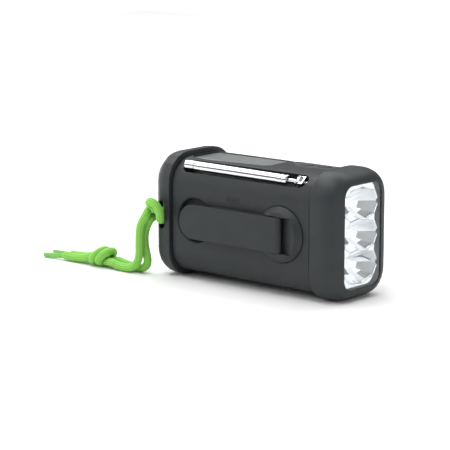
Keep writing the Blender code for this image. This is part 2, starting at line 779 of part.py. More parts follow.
def gear_train():
    """Crank wheel, idler and generator pinion, in mesh: a tooth of one faces a gap of the next."""
    pinion_half = pi / PINION_TEETH
    hub_at = (HUB_X, 0, 0)
    idler_at = (IDLER_X, 0, 0)
    rotor_at = (ROTOR_X, 0, ROTOR_Z)
    wheel = [gear_outline(WHEEL_TEETH, pi), circle((0, 0), 3.2, 20)]
    drive = prism("drive_gear", wheel, 20.4, 23.9, OUT_OF_FACE, hub_at, GEAR)
    wheel = [gear_outline(WHEEL_TEETH, ROTOR_ANGLE)]
    pinion = [gear_outline(PINION_TEETH, pinion_half)]
    idler = prism("idler_gear", wheel, 17.3, 19.8, OUT_OF_FACE, idler_at, GEAR)
    join(idler, prism("idler_pinion", pinion, 18.5, 23.9, OUT_OF_FACE, idler_at))
    cut(idler, rod("idler_bore", 1.65, 16, 25, OUT_OF_FACE, idler_at, steps=16))
    rotor = turned(
        "generator_rotor",
        [
            (0, 20.1),
            (1.0, 20.1),
            (1.0, 13.3),
            (7.0, 13.3),
            (7.4, 12.9),
            (7.4, 1.4),
            (7.0, 1.0),
            (0, 1.0),
        ],
        OUT_OF_FACE,
        rotor_at,
        STEEL,
    )
    pinion = [gear_outline(PINION_TEETH, ROTOR_ANGLE + pi + pinion_half)]
    join(rotor, prism("generator_pinion", pinion, 17.1, 19.8, OUT_OF_FACE, rotor_at))
    turned(
        "generator_can",
        [(1.3, 14.8), (11.0, 14.8), (11.0, -0.8), (8.6, -0.8), (8.6, 13.7), (1.3, 13.7)],
        OUT_OF_FACE,
        rotor_at,
        STEEL,
    )
    rod("idler_axle", 1.5, 15.5, 24.4, OUT_OF_FACE, idler_at, STEEL, 16)
    on_axis("crank_gear_axis", hub_at, drive)
    on_axis("idler_axis", idler_at, idler)
    on_axis("rotor_axis", rotor_at, rotor)


def gear_plate():
    outline = rounded((36, -22), (100, 23), 5, 4)
    plate = prism("gear_plate", [outline], 15.1, 16.6, OUT_OF_FACE, material=STEEL)
    holes = [
        rod("shaft_hole", 2.15, 14, 18, OUT_OF_FACE, (HUB_X, 0, 0)),
        rod("axle_hole", 1.65, 14, 18, OUT_OF_FACE, (IDLER_X, 0, 0)),
        rod("rotor_hole", 4.0, 14, 18, OUT_OF_FACE, (ROTOR_X, 0, ROTOR_Z)),
    ]
    cut(plate, *holes)


# ---------------------------------------------------------------- aerial


def aerial_tube(name, outer, inner, low, high, steps=20):
    """A tube along the aerial from low to high from the pivot, with a closed root where inner is 0."""
    profile = [(0, -low), (outer, -low), (outer, -high)]
    if inner:
        profile += [(inner, -high), (inner, -low - 1.0), (0, -low - 1.0)]
    else:
        profile.append((0, -high))
    return turned(name, profile, AERIAL, AERIAL_PIVOT, CHROME, steps)


def aerial_first_tube():
    """The outer tube, with three rings rolled into its root."""
    profile = [(0, -AERIAL_ROOT), (2.6, -AERIAL_ROOT), (3.0, -AERIAL_ROOT - 0.4)]
    for ring in (3.0, 6.0):
        start = AERIAL_ROOT + ring
        profile += [(3.0, -start), (2.8, -start - 0.2), (2.8, -start - 0.5), (3.0, -start - 0.7)]
    profile += [(3.0, -AERIAL_TIP), (2.62, -AERIAL_TIP)]
    profile += [(2.62, -AERIAL_ROOT - 1.1), (0, -AERIAL_ROOT - 1.1)]
    return turned("antenna_tube_1", profile, AERIAL, AERIAL_PIVOT, CHROME, 24)


def aerial_pieces():
    across = Matrix((AERIAL.col[1], AERIAL.col[2], AERIAL.col[0])).transposed()
    knuckle = turned(
        "antenna_knuckle",
        [(0.95, 1.6), (2.4, 1.6), (2.8, 1.2), (2.8, -1.2), (2.4, -1.6), (0.95, -1.6)],
        across,
        AERIAL_PIVOT,
        CHROME,
        24,
    )
    join(knuckle, rod("antenna_neck", 1.3, -AERIAL_ROOT + GAP, -2.2, AERIAL, AERIAL_PIVOT, steps=16))
    swivel = block("antenna_swivel", (-2.9, -2.2, 3.1), (2.9, 2.2, 3.9), CHROME, AERIAL, AERIAL_PIVOT)
    ear = [(0, 2.9), (2.1, 2.9), (2.8, 2.2), (2.8, 1.9), (0, 1.9)]
    ears = {"high": ear, "low": [(radius, -height) for radius, height in reversed(ear)]}
    for side, rim in ears.items():
        disc = turned(f"ear_disc_{side}", rim, across, AERIAL_PIVOT)
        low, high = min(h for _, h in rim), max(h for _, h in rim)
        strap = block(f"ear_strap_{side}", (low, -2, 0.5), (high, 2, 3.5), None, AERIAL, AERIAL_PIVOT)
        join(swivel, disc, strap)
    join(swivel, rod("swivel_stem", 0.8, 3.5, 8.0, AERIAL, AERIAL_PIVOT, steps=16))
    cut(swivel, rod("swivel_pin_hole", 0.95, -5, 5, across, AERIAL_PIVOT, steps=14))
    pin = rod("antenna_pin", 0.8, -2.8, 2.8, across, AERIAL_PIVOT, STEEL, 12)
    tube_1 = aerial_first_tube()
    tube_2 = aerial_tube("antenna_tube_2", 2.45, 2.05, AERIAL_ROOT + 1.4, AERIAL_TIP + 0.1)
    tube_3 = aerial_tube("antenna_tube_3", 1.88, 1.5, AERIAL_ROOT + 2.8, AERIAL_TIP + 0.1)
    core = aerial_tube("antenna_rod", 1.33, 0, AERIAL_ROOT + 4.2, AERIAL_TIP + 3.2, 16)
    cap = turned(
        "antenna_tip_cap",
        [
            (0, -AERIAL_TIP - 0.4),
            (3.0, -AERIAL_TIP - 0.4),
            (3.0, -CAP_END + 0.6),
            (2.4, -CAP_END),
            (0, -CAP_END),
        ],
        AERIAL,
        AERIAL_PIVOT,
        CHROME,
        24,
    )
    cut(cap, rod("cap_bore", 1.45, -AERIAL_TIP - 3.4, -AERIAL_TIP, AERIAL, AERIAL_PIVOT))
    on_axis("antenna_pivot", AERIAL_PIVOT, knuckle, tube_1, tube_2, tube_3, core, cap, swivel, pin)


# ---------------------------------------------------------------- top inlays and buttons


def top_pieces():
    prism("solar_cell", [filleted(SOLAR, -0.6)], 33.7, 34.3, ALONG_Z, material=CELL)
    prism("solar_cover", [filleted(SOLAR)], 34.6, TOP, ALONG_Z, material=CLEAR)
    pad = prism("control_pad", [filleted(PAD)], 33.7, TOP, ALONG_Z, material=RUBBER)
    for name, (x, y) in BUTTONS.items():
        at = (x, y, 0)
        cut(pad, rod(name + "_hole", 4.1, 33, 37, ALONG_Z, at, steps=32))
        profile = [(0, 35.5), (3.5, 35.5), (3.8, 35.2), (3.8, 34.2), (1.5, 34.2), (1.5, 31.2), (0, 31.2)]
        button = turned(name + "_button", profile, ALONG_Z, at, RUBBER, 28)
        on_axis(name + "_button_axis", at, button)
    board = block("switch_board", (66, 1, 26.5), (92, 14, 27.8), BOARD)
    for name, (x, y) in BUTTONS.items():
        join(board, block(name + "_switch", (x - 3, y - 3, 27.5), (x + 3, y + 3, 30.3)))


# ---------------------------------------------------------------- rear controls and inside


def knob_with_shaft(name, place, radius):
    """A rear knob that stands 1.8 mm out of the rear face, with a grip groove and a shaft."""
    x, z = place
    profile = [(0, -15.8), (2.5, -15.8), (2.5, -26.2), (radius, -26.2)]
    profile += [(radius, -28.5), (radius - 0.6, -29.1), (0, -29.1)]
    knob = turned(name, profile, OUT_OF_FACE, (x, 0, z), BLACK, 28)
    pointer = block(name + "_mark", (x - 0.6, 28.6, z + 2), (x + 0.6, 30, z + radius - 0.8))
    cut(knob, pointer)
    on_axis(name + "_axis", (x, HALF_DEPTH, z), knob)


def port_pieces():
    x, z = PORT
    socket = block("usb_socket", (x - 5, 16.5, z - 2.1), (x + 5, 25.5, z + 2.1), STEEL)
    cut(socket, block("usb_mouth", (x - 4.3, 19, z - 1.4), (x + 4.3, 27, z + 1.4)))
    outline = rounded((x - 7.7, z - 4.2), (x + 7.7, z + 4.2), 1.2, 3)
    cover = prism("port_cover", [outline], -HALF_DEPTH, -HALF_DEPTH + 1.1, OUT_OF_FACE, material=RUBBER)
    on_axis("port_cover_axis", (x - 7.7, HALF_DEPTH, z), cover)


def band_pieces():
    x, z = BAND
    slider = block("band_slider", (x - 2.2, 21.5, z - 1.5), (x + 2.2, 28.6, z + 1.5), BLACK)
    join(slider, block("slider_flange", (x - 8.0, 22.6, z - 3), (x + 8.0, 24.3, z + 3)))
    on_axis("band_slider_axis", (x, HALF_DEPTH, z), slider)


def speaker_pieces():
    x, z = SPEAKER
    at = (x, 0, z)
    frame = [
        (9.8, -14.0), (18.2, -20.6), (20.0, -22.4), (20.0, -24.3), (17.4, -24.3),
        (17.4, -22.0), (9.8, -15.8), (3.4, -15.8), (3.4, -14.0),
    ]
    turned("speaker_frame", frame, OUT_OF_FACE, at, STEEL)
    turned("speaker_magnet", [(0, -10.2), (9.5, -10.2), (9.5, -13.7), (0, -13.7)], OUT_OF_FACE, at, FERRITE)
    cone = [(3.0, -16.4), (16.9, -23.1), (16.9, -23.9), (3.0, -17.4), (0, -18.4)]
    turned("speaker_cone", [(0, -17.2), *cone], OUT_OF_FACE, at, PAPER)


def inner_pieces():
    board = block("main_board", (6, 8, -30), (100, 9.6, 22.5), BOARD)
    for i, (x, z) in enumerate(SCREWS[2:], 1):
        cut(board, rod(f"board_notch_{i}", 4.6, -12, -6, OUT_OF_FACE, (x, 0, z), steps=16))
    cell = [(0, 81), (3, 81), (3, 80.2), (8.6, 80.2), (9, 79.8), (9, 17), (8.6, 16.6), (0, 16.6)]
    turned("battery_cell", cell, ALONG_X, (0, -2.5, -21), WRAP)
    rod("ferrite_rod", 3.5, 16, 60, ALONG_X, (0, 14.8, 25.4), FERRITE)
    x, z = TUNING
    block("tuning_capacitor", (x - 9, 9.9, z - 8), (x + 9, 15.5, z + 9), BLACK)
    x, z = VOLUME
    block("volume_pot", (x - 6, 9.9, z - 6), (x + 6, 15.5, z + 6), STEEL)
    for i, (x, z) in enumerate(SCREWS, 1):
        profile = [(0, 12), (1.2, 12), (1.2, -18.8), (2.6, -18.8), (2.6, -20.6), (0, -20.6)]
        turned(f"casing_screw_{i}", profile, OUT_OF_FACE, (x, 0, z), STEEL, 12)


# ---------------------------------------------------------------- lanyard

CORD_RADIUS = 2.5
# Hand-laid points on each cord's middle line. A fourth number is a share of the radius.
ROUTES = {
    "hitch": [
        (-6.7, -24.6, -0.6), (-6.7, -30.4, -1.8), (-4.9, -32.8, -0.4), (-3.7, -33.7, 2.8),
        (-4.7, -34.2, 6.2), (-8.0, -34.4, 8.4), (-12.4, -33.4, 8.4), (-16.6, -29.8, 6.6),
        (-17.9, -24.8, 3.8),
        (-15.2, -20.8, 1.2), (-10.8, -20.8, 0.6),
    ],
    "strand_a": [
        (-13.4, -33.4, 2.2), (-16.0, -33.4, -0.6), (-18.7, -33.4, -4.9), (-20.1, -33.4, -10),
        (-20.6, -33.4, -18), (-20.9, -33.4, -25.6), (-23.1, -33.4, -30.9), (-28.1, -33.4, -34.2),
        (-33.2, -33.4, -34.8), (-39.1, -33.3, -34.4), (-44.2, -33.2, -33.4),
    ],
    "strand_b": [
        (-14.6, -28.0, -2.6), (-17.3, -28.0, -5.2), (-19.9, -28.0, -9.5), (-21.2, -28.0, -14.6),
        (-21.0, -28.0, -20.2), (-19.8, -28.0, -25.0), (-18.9, -28.0, -29.2), (-19.9, -28.0, -32.8),
        (-23.6, -27.9, -34.7), (-30.0, -27.8, -34.8), (-37.5, -27.8, -34.2), (-44.2, -27.7, -33.2),
    ],
    "tail_a": [
        (-64.6, -33.2, -33.4), (-70, -33.3, -34.2), (-77, -33.3, -34.6), (-84, -33.6, -34.7),
        (-86.5, -33.8, -35.0, 0.62), (-92, -34.2, -35.5, 0.56), (-98, -34.7, -35.9, 0.48),
        (-101.5, -35.0, -36.1, 0.3),
    ],
    "tail_b": [
        (-64.6, -27.8, -33.2), (-70, -27.8, -34.0), (-77, -27.7, -34.5), (-84, -27.5, -34.6),
        (-86.5, -27.3, -34.8, 0.55), (-92, -26.9, -35.0, 0.5), (-98, -26.6, -35.2, 0.42),
        (-101.8, -26.4, -35.3, 0.28),
    ],
}
KNOT_CENTRE = (-54.3, -30.4, -31.2)
KNOT_HALF = (9.3, 8.0, 6.1)


def lanyard():
    for name, points in ROUTES.items():
        tube("lanyard_" + name, smooth_through(points, 2), CORD_RADIUS)

    def build(work):
        bmesh.ops.create_uvsphere(work, u_segments=16, v_segments=8, radius=MM)
        bmesh.ops.scale(work, vec=KNOT_HALF, verts=work.verts)

    add("lanyard_knot", mesh_from("lanyard_knot", build), seat(ALONG_Z, KNOT_CENTRE), CORD)


def main():
    tops = top_recesses()
    front_casing(tops)
    rear_casing(tops)
    end_bumper()
    torch_head()
    torch_parts()
    crank_pieces()
    gear_train()
    gear_plate()
    aerial_pieces()
    top_pieces()
    knob_with_shaft("tuning_knob", TUNING, 9.0)
    knob_with_shaft("volume_knob", VOLUME, 7.0)
    port_pieces()
    band_pieces()
    speaker_pieces()
    inner_pieces()
    lanyard()


main()
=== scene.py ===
from math import cos, pi, radians, sin

import bmesh
import bpy
import numpy as np
from mathutils import Matrix, Vector

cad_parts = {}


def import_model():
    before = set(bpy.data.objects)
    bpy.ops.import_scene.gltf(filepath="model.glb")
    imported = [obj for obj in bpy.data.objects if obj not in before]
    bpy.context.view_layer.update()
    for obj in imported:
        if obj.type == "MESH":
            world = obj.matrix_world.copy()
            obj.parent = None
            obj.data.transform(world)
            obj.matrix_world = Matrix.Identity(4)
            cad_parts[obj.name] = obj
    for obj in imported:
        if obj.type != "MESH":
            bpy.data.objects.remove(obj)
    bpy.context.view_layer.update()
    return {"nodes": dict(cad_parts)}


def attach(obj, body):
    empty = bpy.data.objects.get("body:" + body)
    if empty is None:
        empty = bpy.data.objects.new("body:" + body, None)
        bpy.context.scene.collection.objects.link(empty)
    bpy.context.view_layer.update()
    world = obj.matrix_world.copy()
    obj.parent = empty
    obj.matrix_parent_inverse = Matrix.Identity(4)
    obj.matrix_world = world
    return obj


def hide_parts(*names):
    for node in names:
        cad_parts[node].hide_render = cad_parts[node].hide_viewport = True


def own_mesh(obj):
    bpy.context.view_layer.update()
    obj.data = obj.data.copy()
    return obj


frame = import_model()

# Bench coordinates, in millimetres: x from the groove beside the end bumper, y from the
# middle of the body, z from its mid height. SHIFT carries them into the row frame.
MM = 0.001
SHIFT = Vector((-54.25, 1.5, 37.5))
HALF_DEPTH = 27.25
TOP = 35.2

NODES = frame["nodes"]


def at(x, y, z):
    """A bench point in the row frame, in metres."""
    return (Vector((x, y, z)) + SHIFT) * MM


# ---------------------------------------------------------------- camera

AZIMUTH = radians(40.4)
ELEVATION = radians(11.2)
DISTANCE = 1.2115
TARGET = Vector((-0.035035, 0.0015, 0.03066))

BACK = Vector(
    (sin(AZIMUTH) * cos(ELEVATION), -cos(AZIMUTH) * cos(ELEVATION), sin(ELEVATION))
)
camera_data = bpy.data.cameras.new("camera")
camera_data.lens = 160
camera_data.sensor_width = 36
camera_data.clip_start = 0.05
camera_data.clip_end = 50
camera = bpy.data.objects.new("camera", camera_data)
camera.location = TARGET + BACK * DISTANCE
camera.rotation_euler = BACK.to_track_quat("Z", "Y").to_euler()
bpy.context.scene.collection.objects.link(camera)
bpy.context.scene.camera = camera


# ---------------------------------------------------------------- material helpers


class Material:
    """A node material under construction: each method adds a node and returns its output."""

    def __init__(self, name):
        self.made = bpy.data.materials.new(name)
        self.made.use_nodes = True
        self.nodes = self.made.node_tree.nodes
        self.links = self.made.node_tree.links
        self.shader = self.nodes["Principled BSDF"]
        self.place = self.nodes.new("ShaderNodeTexCoord").outputs["Object"]

    def put(self, socket, value):
        if isinstance(value, bpy.types.NodeSocket):
            self.links.new(value, socket)
        elif socket.type == "RGBA" and len(value) == 3:
            socket.default_value = (*value, 1)
        else:
            socket.default_value = value

    def set(self, **inputs):
        for name, value in inputs.items():
            self.put(self.shader.inputs[name.replace("_", " ")], value)

    def noise(self, scale, detail=2.0, stretch=None, roughness=0.5):
        node = self.nodes.new("ShaderNodeTexNoise")
        node.inputs["Scale"].default_value = scale
        node.inputs["Detail"].default_value = detail
        node.inputs["Roughness"].default_value = roughness
        self.links.new(self.stretched(stretch), node.inputs["Vector"])
        return node.outputs["Fac"]

    def stretched(self, stretch):
        if stretch is None:
            return self.place
        node = self.nodes.new("ShaderNodeMapping")
        node.inputs["Scale"].default_value = stretch
        self.links.new(self.place, node.inputs["Vector"])
        return node.outputs["Vector"]

    def span(self, value, low, high, start=0.0, end=1.0):
        node = self.nodes.new("ShaderNodeMapRange")
        self.put(node.inputs["Value"], value)
        node.inputs["From Min"].default_value = start
        node.inputs["From Max"].default_value = end
        node.inputs["To Min"].default_value = low
        node.inputs["To Max"].default_value = high
        return node.outputs["Result"]

    def mix(self, share, first, second):
        node = self.nodes.new("ShaderNodeMix")
        node.data_type = "RGBA"
        self.put(node.inputs["Factor"], share)
        self.put(node.inputs[6], first)
        self.put(node.inputs[7], second)
        return node.outputs[2]

    def math(self, operation, first, second=0.0):
        node = self.nodes.new("ShaderNodeMath")
        node.operation = operation
        self.put(node.inputs[0], first)
        self.put(node.inputs[1], second)
        return node.outputs[0]

    def axis(self, name):
        node = self.nodes.new("ShaderNodeSeparateXYZ")
        self.links.new(self.place, node.inputs[0])
        return node.outputs[name]

    def attribute(self, name):
        node = self.nodes.new("ShaderNodeAttribute")
        node.attribute_name = name
        return node.outputs["Fac"]

    def bump(self, height, strength, distance, edge=None):
        node = self.nodes.new("ShaderNodeBump")
        node.inputs["Strength"].default_value = strength
        node.inputs["Distance"].default_value = distance
        self.put(node.inputs["Height"], height)
        if edge:
            self.links.new(self.rounded_edge(edge), node.inputs["Normal"])
        self.links.new(node.outputs["Normal"], self.shader.inputs["Normal"])

    def rounded_edge(self, radius):
        node = self.nodes.new("ShaderNodeBevel")
        node.samples = 6
        node.inputs["Radius"].default_value = radius
        return node.outputs["Normal"]


def soft_plastic(name, low, high, rough, grain=2600, strength=0.25, edge=0.0005):
    """Matt moulded plastic or rubber: uneven tone, fine grain, softened edges."""
    made = Material(name)
    patches = made.noise(38, 3)
    speckle = made.noise(grain, 2)
    tone = made.math("ADD", made.math("MULTIPLY", patches, 0.7), made.math("MULTIPLY", speckle, 0.3))
    made.set(
        Base_Color=made.mix(made.span(tone, 0, 1, 0.3, 0.7), low, high),
        Roughness=made.span(made.noise(120, 3), rough - 0.05, rough + 0.05, 0.3, 0.7),
        Specular_IOR_Level=0.32,
    )
    made.bump(speckle, strength, 0.0001, edge)
    return made.made


def metal(name, colour, rough, scratch=(6, 900, 900), strength=0.06, edge=0.0002):
    """Plated or turned metal with faint lengthwise marks."""
    made = Material(name)
    marks = made.noise(1.0, 3, scratch, 0.6)
    clouds = made.noise(60, 2)
    made.set(
        Base_Color=made.mix(made.span(clouds, 0, 1, 0.35, 0.65), colour, [c * 0.93 for c in colour]),
        Metallic=1.0,
        Roughness=made.span(marks, rough * 0.7, rough * 1.4, 0.3, 0.7),
    )
    made.bump(marks, strength, 0.00003, edge)
    return made.made


def clear_material(name, gloss_rough, tint, base_share):
    """A thin clear sheet: sharp reflections by Fresnel over plain transparency."""
    made = Material(name)
    out = made.nodes["Material Output"]
    glass = made.nodes.new("ShaderNodeBsdfTransparent")
    glass.inputs["Color"].default_value = (*tint, 1)
    gloss = made.nodes.new("ShaderNodeBsdfGlossy")
    gloss.inputs["Color"].default_value = (1, 1, 1, 1)
    rough = made.span(made.noise(300, 2), gloss_rough * 0.6, gloss_rough * 1.4)
    made.put(gloss.inputs["Roughness"], rough)
    fresnel = made.nodes.new("ShaderNodeFresnel")
    fresnel.inputs["IOR"].default_value = 1.5
    inside = made.nodes.new("ShaderNodeNewGeometry").outputs["Backfacing"]
    share = made.math("ADD", fresnel.outputs[0], base_share)
    share = made.math("MULTIPLY", share, made.math("SUBTRACT", 1.0, inside))
    mix = made.nodes.new("ShaderNodeMixShader")
    made.put(mix.inputs[0], share)
    made.links.new(glass.outputs[0], mix.inputs[1])
    made.links.new(gloss.outputs[0], mix.inputs[2])
    made.links.new(mix.outputs[0], out.inputs["Surface"])
    made.nodes.remove(made.shader)
    return made.made


def solar_material():
    """Amorphous cell strips along the body with thin dark lines between them."""
    made = Material("solar_cell")
    strip_width, line_share = 0.0037, 0.07
    saw = made.math("FRACT", made.math("MULTIPLY", made.axis("Y"), 1 / strip_width))
    line = made.math("LESS_THAN", saw, line_share)
    streak = made.noise(1.0, 3, (14, 900, 10), 0.6)
    film = made.mix(made.span(streak, 0, 1, 0.3, 0.7), (0.23, 0.236, 0.243), (0.34, 0.347, 0.354))
    made.set(
        Base_Color=made.mix(line, film, (0.14, 0.145, 0.15)),
        Roughness=made.span(streak, 0.25, 0.42),
        Metallic=0.1,
        Sheen_Weight=1.0,
        Sheen_Roughness=0.3,
    )
    made.bump(streak, 0.08, 0.00005)
    return made.made


def board_material():
    made = Material("circuit_board")
    tracks_per_metre, track_share = 420, 0.32
    saw = made.math("FRACT", made.math("MULTIPLY", made.axis("X"), tracks_per_metre))
    tracks = made.math("LESS_THAN", saw, track_share)
    made.set(
        Base_Color=made.mix(tracks, (0.015, 0.10, 0.045), (0.03, 0.19, 0.08)),
        Roughness=made.span(made.noise(500), 0.3, 0.5),
    )
    made.bump(tracks, 0.2, 0.00003)
    return made.made


def led_material():
    made = Material("led_epoxy")
    glow = made.span(made.noise(900, 2), 0.8, 1.1)
    made.set(
        Base_Color=made.mix(glow, (0.62, 0.64, 0.67), (0.72, 0.72, 0.70)),
        Roughness=made.span(glow, 0.2, 0.35),
        Emission_Color=(0.93, 0.97, 1.0),
        Emission_Strength=made.math("MULTIPLY", glow, 0.9),
    )
    return made.made


def reflector_material():
    """Vacuum-metallised plastic, slightly hazy and uneven."""
    made = Material("metallised_reflector")
    waves = made.noise(140, 1)
    made.set(
        Base_Color=made.mix(waves, (0.78, 0.80, 0.83), (0.88, 0.89, 0.91)),
        Metallic=1.0,
        Roughness=made.span(waves, 0.05, 0.11),
    )
    made.bump(waves, 0.05, 0.0004)
    return made.made


def braid_material():
    """Braided polyester: painted shade darkens the valleys between the stitches and a painted highlight
    lightens their crests; melted tips smooth.
    """
    made = Material("lanyard_braid")
    height = made.attribute("braid")
    melt = made.attribute("melt")
    fibre = made.noise(5200, 2)
    # Painted shade and highlight: the stitch height darkens the braid's valleys and lightens its crests.
    stitch_shade_and_highlight = made.mix(made.span(height, 0, 1, 0.05, 0.75), (0.075, 0.27, 0.028), (0.25, 0.60, 0.085))
    lively = made.mix(made.span(fibre, 0, 0.5, 0.45, 0.8), stitch_shade_and_highlight, (0.37, 0.74, 0.17))
    tip = made.mix(made.noise(700), (0.12, 0.40, 0.055), (0.18, 0.50, 0.075))
    made.set(
        Base_Color=made.mix(melt, lively, tip),
        Roughness=made.span(melt, 0.82, 0.38),
        Sheen_Weight=made.span(melt, 0.35, 0.0),
        Sheen_Roughness=0.4,
        Sheen_Tint=(0.6, 1.0, 0.4),
    )
    made.bump(made.math("MULTIPLY", fibre, made.span(melt, 1, 0.1)), 0.35, 0.0001)
    return made.made


BRAID = braid_material()
SHELL = soft_plastic("soft_touch_shell", (0.0175, 0.0207, 0.0225), (0.024, 0.0277, 0.030), 0.5)
RUBBER = soft_plastic(
    "bumper_rubber", (0.023, 0.0268, 0.029), (0.031, 0.0355, 0.038), 0.5, 1900, 0.3, 0.0008
)
BLACK = soft_plastic(
    "black_plastic", (0.010, 0.011, 0.012), (0.016, 0.017, 0.018), 0.42, 1500, 0.2, 0.0003
)
PAD = soft_plastic("pad_rubber", (0.055, 0.059, 0.062), (0.07, 0.075, 0.078), 0.36, 1500, 0.2, 0.0005)
DARK_MARK = soft_plastic(
    "pressed_mark", (0.003, 0.003, 0.003), (0.006, 0.006, 0.006), 0.7, 1500, 0.1, None
)
MARK = soft_plastic("printed_mark", (0.13, 0.135, 0.14), (0.17, 0.175, 0.18), 0.55, 1500, 0.1, None)

FINISH = {
    "shell": SHELL,
    "bumper_rubber": RUBBER,
    "black_plastic": BLACK,
    "chrome": metal("chrome_plate", (0.73, 0.74, 0.75), 0.06),
    "steel": metal("steel", (0.56, 0.57, 0.58), 0.3, (500, 500, 500), 0.15),
    "clear_plastic": clear_material("clear_plastic", 0.03, (0.97, 0.98, 0.98), 0.02),
    "solar_cell": solar_material(),
    "circuit_board": board_material(),
    "led": led_material(),
    "gear_plastic": soft_plastic("acetal", (0.62, 0.61, 0.55), (0.74, 0.73, 0.67), 0.4, 1200, 0.1),
    "cone_paper": soft_plastic(
        "cone_paper", (0.02, 0.02, 0.02), (0.04, 0.04, 0.038), 0.85, 1400, 0.6, None
    ),
    "ferrite": soft_plastic("ferrite", (0.035, 0.033, 0.03), (0.06, 0.055, 0.05), 0.7, 1400, 0.5),
    "cell_wrap": soft_plastic("cell_wrap", (0.03, 0.12, 0.3), (0.05, 0.17, 0.38), 0.35, 600, 0.1),
    "lanyard_braid": BRAID,
}


# ---------------------------------------------------------------- mesh helpers


def piece(name, points, faces, material, body, smooth=True):
    """A new piece from bench points in millimetres."""
    mesh = bpy.data.meshes.new(name)
    mesh.from_pydata([tuple(at(*p)) for p in points], [], [tuple(f) for f in faces])
    mesh.update()
    mesh.materials.append(material)
    mesh.polygons.foreach_set("use_smooth", [smooth] * len(mesh.polygons))
    made = bpy.data.objects.new(name, mesh)
    bpy.context.scene.collection.objects.link(made)
    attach(made, body)
    return made


def smooth_by_angle_group():
    """Geometry nodes that shade smooth and keep edges over 38 degrees sharp."""
    tree = bpy.data.node_groups.new("smooth_by_angle", "GeometryNodeTree")
    tree.interface.new_socket("Geometry", in_out="INPUT", socket_type="NodeSocketGeometry")
    tree.interface.new_socket("Geometry", in_out="OUTPUT", socket_type="NodeSocketGeometry")
    start = tree.nodes.new("NodeGroupInput")
    end = tree.nodes.new("NodeGroupOutput")
    faces = tree.nodes.new("GeometryNodeSetShadeSmooth")
    faces.domain = "FACE"
    edges = tree.nodes.new("GeometryNodeSetShadeSmooth")
    edges.domain = "EDGE"
    angle = tree.nodes.new("GeometryNodeInputMeshEdgeAngle")
    small = tree.nodes.new("FunctionNodeCompare")
    small.data_type = "FLOAT"
    small.operation = "LESS_EQUAL"
    small.inputs[1].default_value = radians(38)
    tree.links.new(start.outputs[0], faces.inputs["Geometry"])
    tree.links.new(faces.outputs[0], edges.inputs["Geometry"])
    tree.links.new(angle.outputs["Unsigned Angle"], small.inputs[0])
    tree.links.new(small.outputs[0], edges.inputs["Shade Smooth"])
    tree.links.new(edges.outputs[0], end.inputs[0])
    return tree


SMOOTH = smooth_by_angle_group()


def shade(obj):
    """Joins the split corners and smooths the curved faces, by modifiers alone."""
    mesh = obj.data
    for name in ("custom_normal", "sharp_face", "sharp_edge"):
        found = mesh.attributes.get(name)
        if found:
            mesh.attributes.remove(found)
    weld = obj.modifiers.new("weld", "WELD")
    weld.merge_threshold = 0.000002
    smooth = obj.modifiers.new("smooth", "NODES")
    smooth.node_group = SMOOTH
    flat = obj.modifiers.new("flat_faces", "WEIGHTED_NORMAL")
    flat.keep_sharp = True
    flat.weight = 60


# ---------------------------------------------------------------- lanyard

CORD_RADIUS = 2.5
KNOT_CENTRE = (-54.3, -30.4, -31.2)
BAND_A = [
    (-13.6, -31.2, 6.6), (-12.2, -33.4, 8.3), (-9.2, -34.7, 8.9), (-6.2, -34.9, 7.9),
    (-4.2, -34.4, 5.4), (-3.6, -33.6, 2.0), (-4.9, -31.9, -1.2), (-6.5, -29.2, -2.4),
    (-6.7, -25.5, -2.6), (-7.8, -22.0, -2.6), (-10.8, -20.8, -2.0), (-14.8, -20.9, 1.0),
    (-17.6, -23.0, 2.2), (-17.6, -27.0, 2.6), (-15.8, -30.6, 2.2),
]
BAND_B = [
    (-13.6, -31.2, 6.6), (-12.4, -30.0, 4.9), (-9.8, -30.4, 3.7), (-7.4, -29.2, 2.9),
    (-6.7, -26.2, 2.6), (-7.6, -22.4, 2.6), (-10.8, -20.8, 2.2), (-14.6, -20.9, -2.0),
    (-17.4, -22.6, -2.9), (-17.2, -25.8, -2.7), (-15.6, -28.0, -2.9),
]
DOWN_A = [
    (-15.6, -33.0, -0.6), (-18.2, -33.6, -4.9), (-20.1, -33.5, -10), (-20.6, -33.4, -18),
    (-20.9, -33.4, -25.6), (-23.1, -33.4, -30.9), (-28.1, -33.4, -34.2), (-33.2, -33.4, -34.8),
    (-39.1, -33.3, -34.4), (-44.2, -33.2, -33.4),
]
DOWN_B = [
    (-17.3, -28.4, -5.2), (-19.9, -28.0, -9.5), (-21.2, -28.0, -14.6), (-21.0, -28.0, -20.2),
    (-19.8, -28.0, -25.0), (-18.9, -28.0, -29.2), (-19.9, -28.0, -32.8), (-23.6, -27.9, -34.7),
    (-30.0, -27.8, -34.8), (-37.5, -27.8, -34.2), (-44.2, -27.7, -33.2),
]
TAIL_A = [
    (-64.6, -33.2, -33.4), (-70, -33.3, -34.2), (-77, -33.3, -34.6), (-84, -33.6, -34.7),
    (-92, -34.2, -35.5), (-101.5, -35.0, -36.1),
]
TAIL_B = [
    (-64.6, -27.8, -33.2), (-70, -27.8, -34.0), (-77, -27.7, -34.5), (-84, -27.5, -34.6),
    (-92, -26.9, -35.0), (-101.8, -26.4, -35.3),
]


def wrap(middle, lean=3.4, deep=5.5, tall=3.7, count=10, start=200.0, sweep=330.0):
    """One turn of a strand round the knot's core."""
    turn = []
    for i in range(count):
        angle = radians(start + sweep * i / (count - 1))
        turn.append(
            (
                middle + lean * cos(angle),
                KNOT_CENTRE[1] - deep * sin(angle),
                KNOT_CENTRE[2] + tall * cos(angle),
            )
        )
    return turn


PATH_SPACING = 0.36


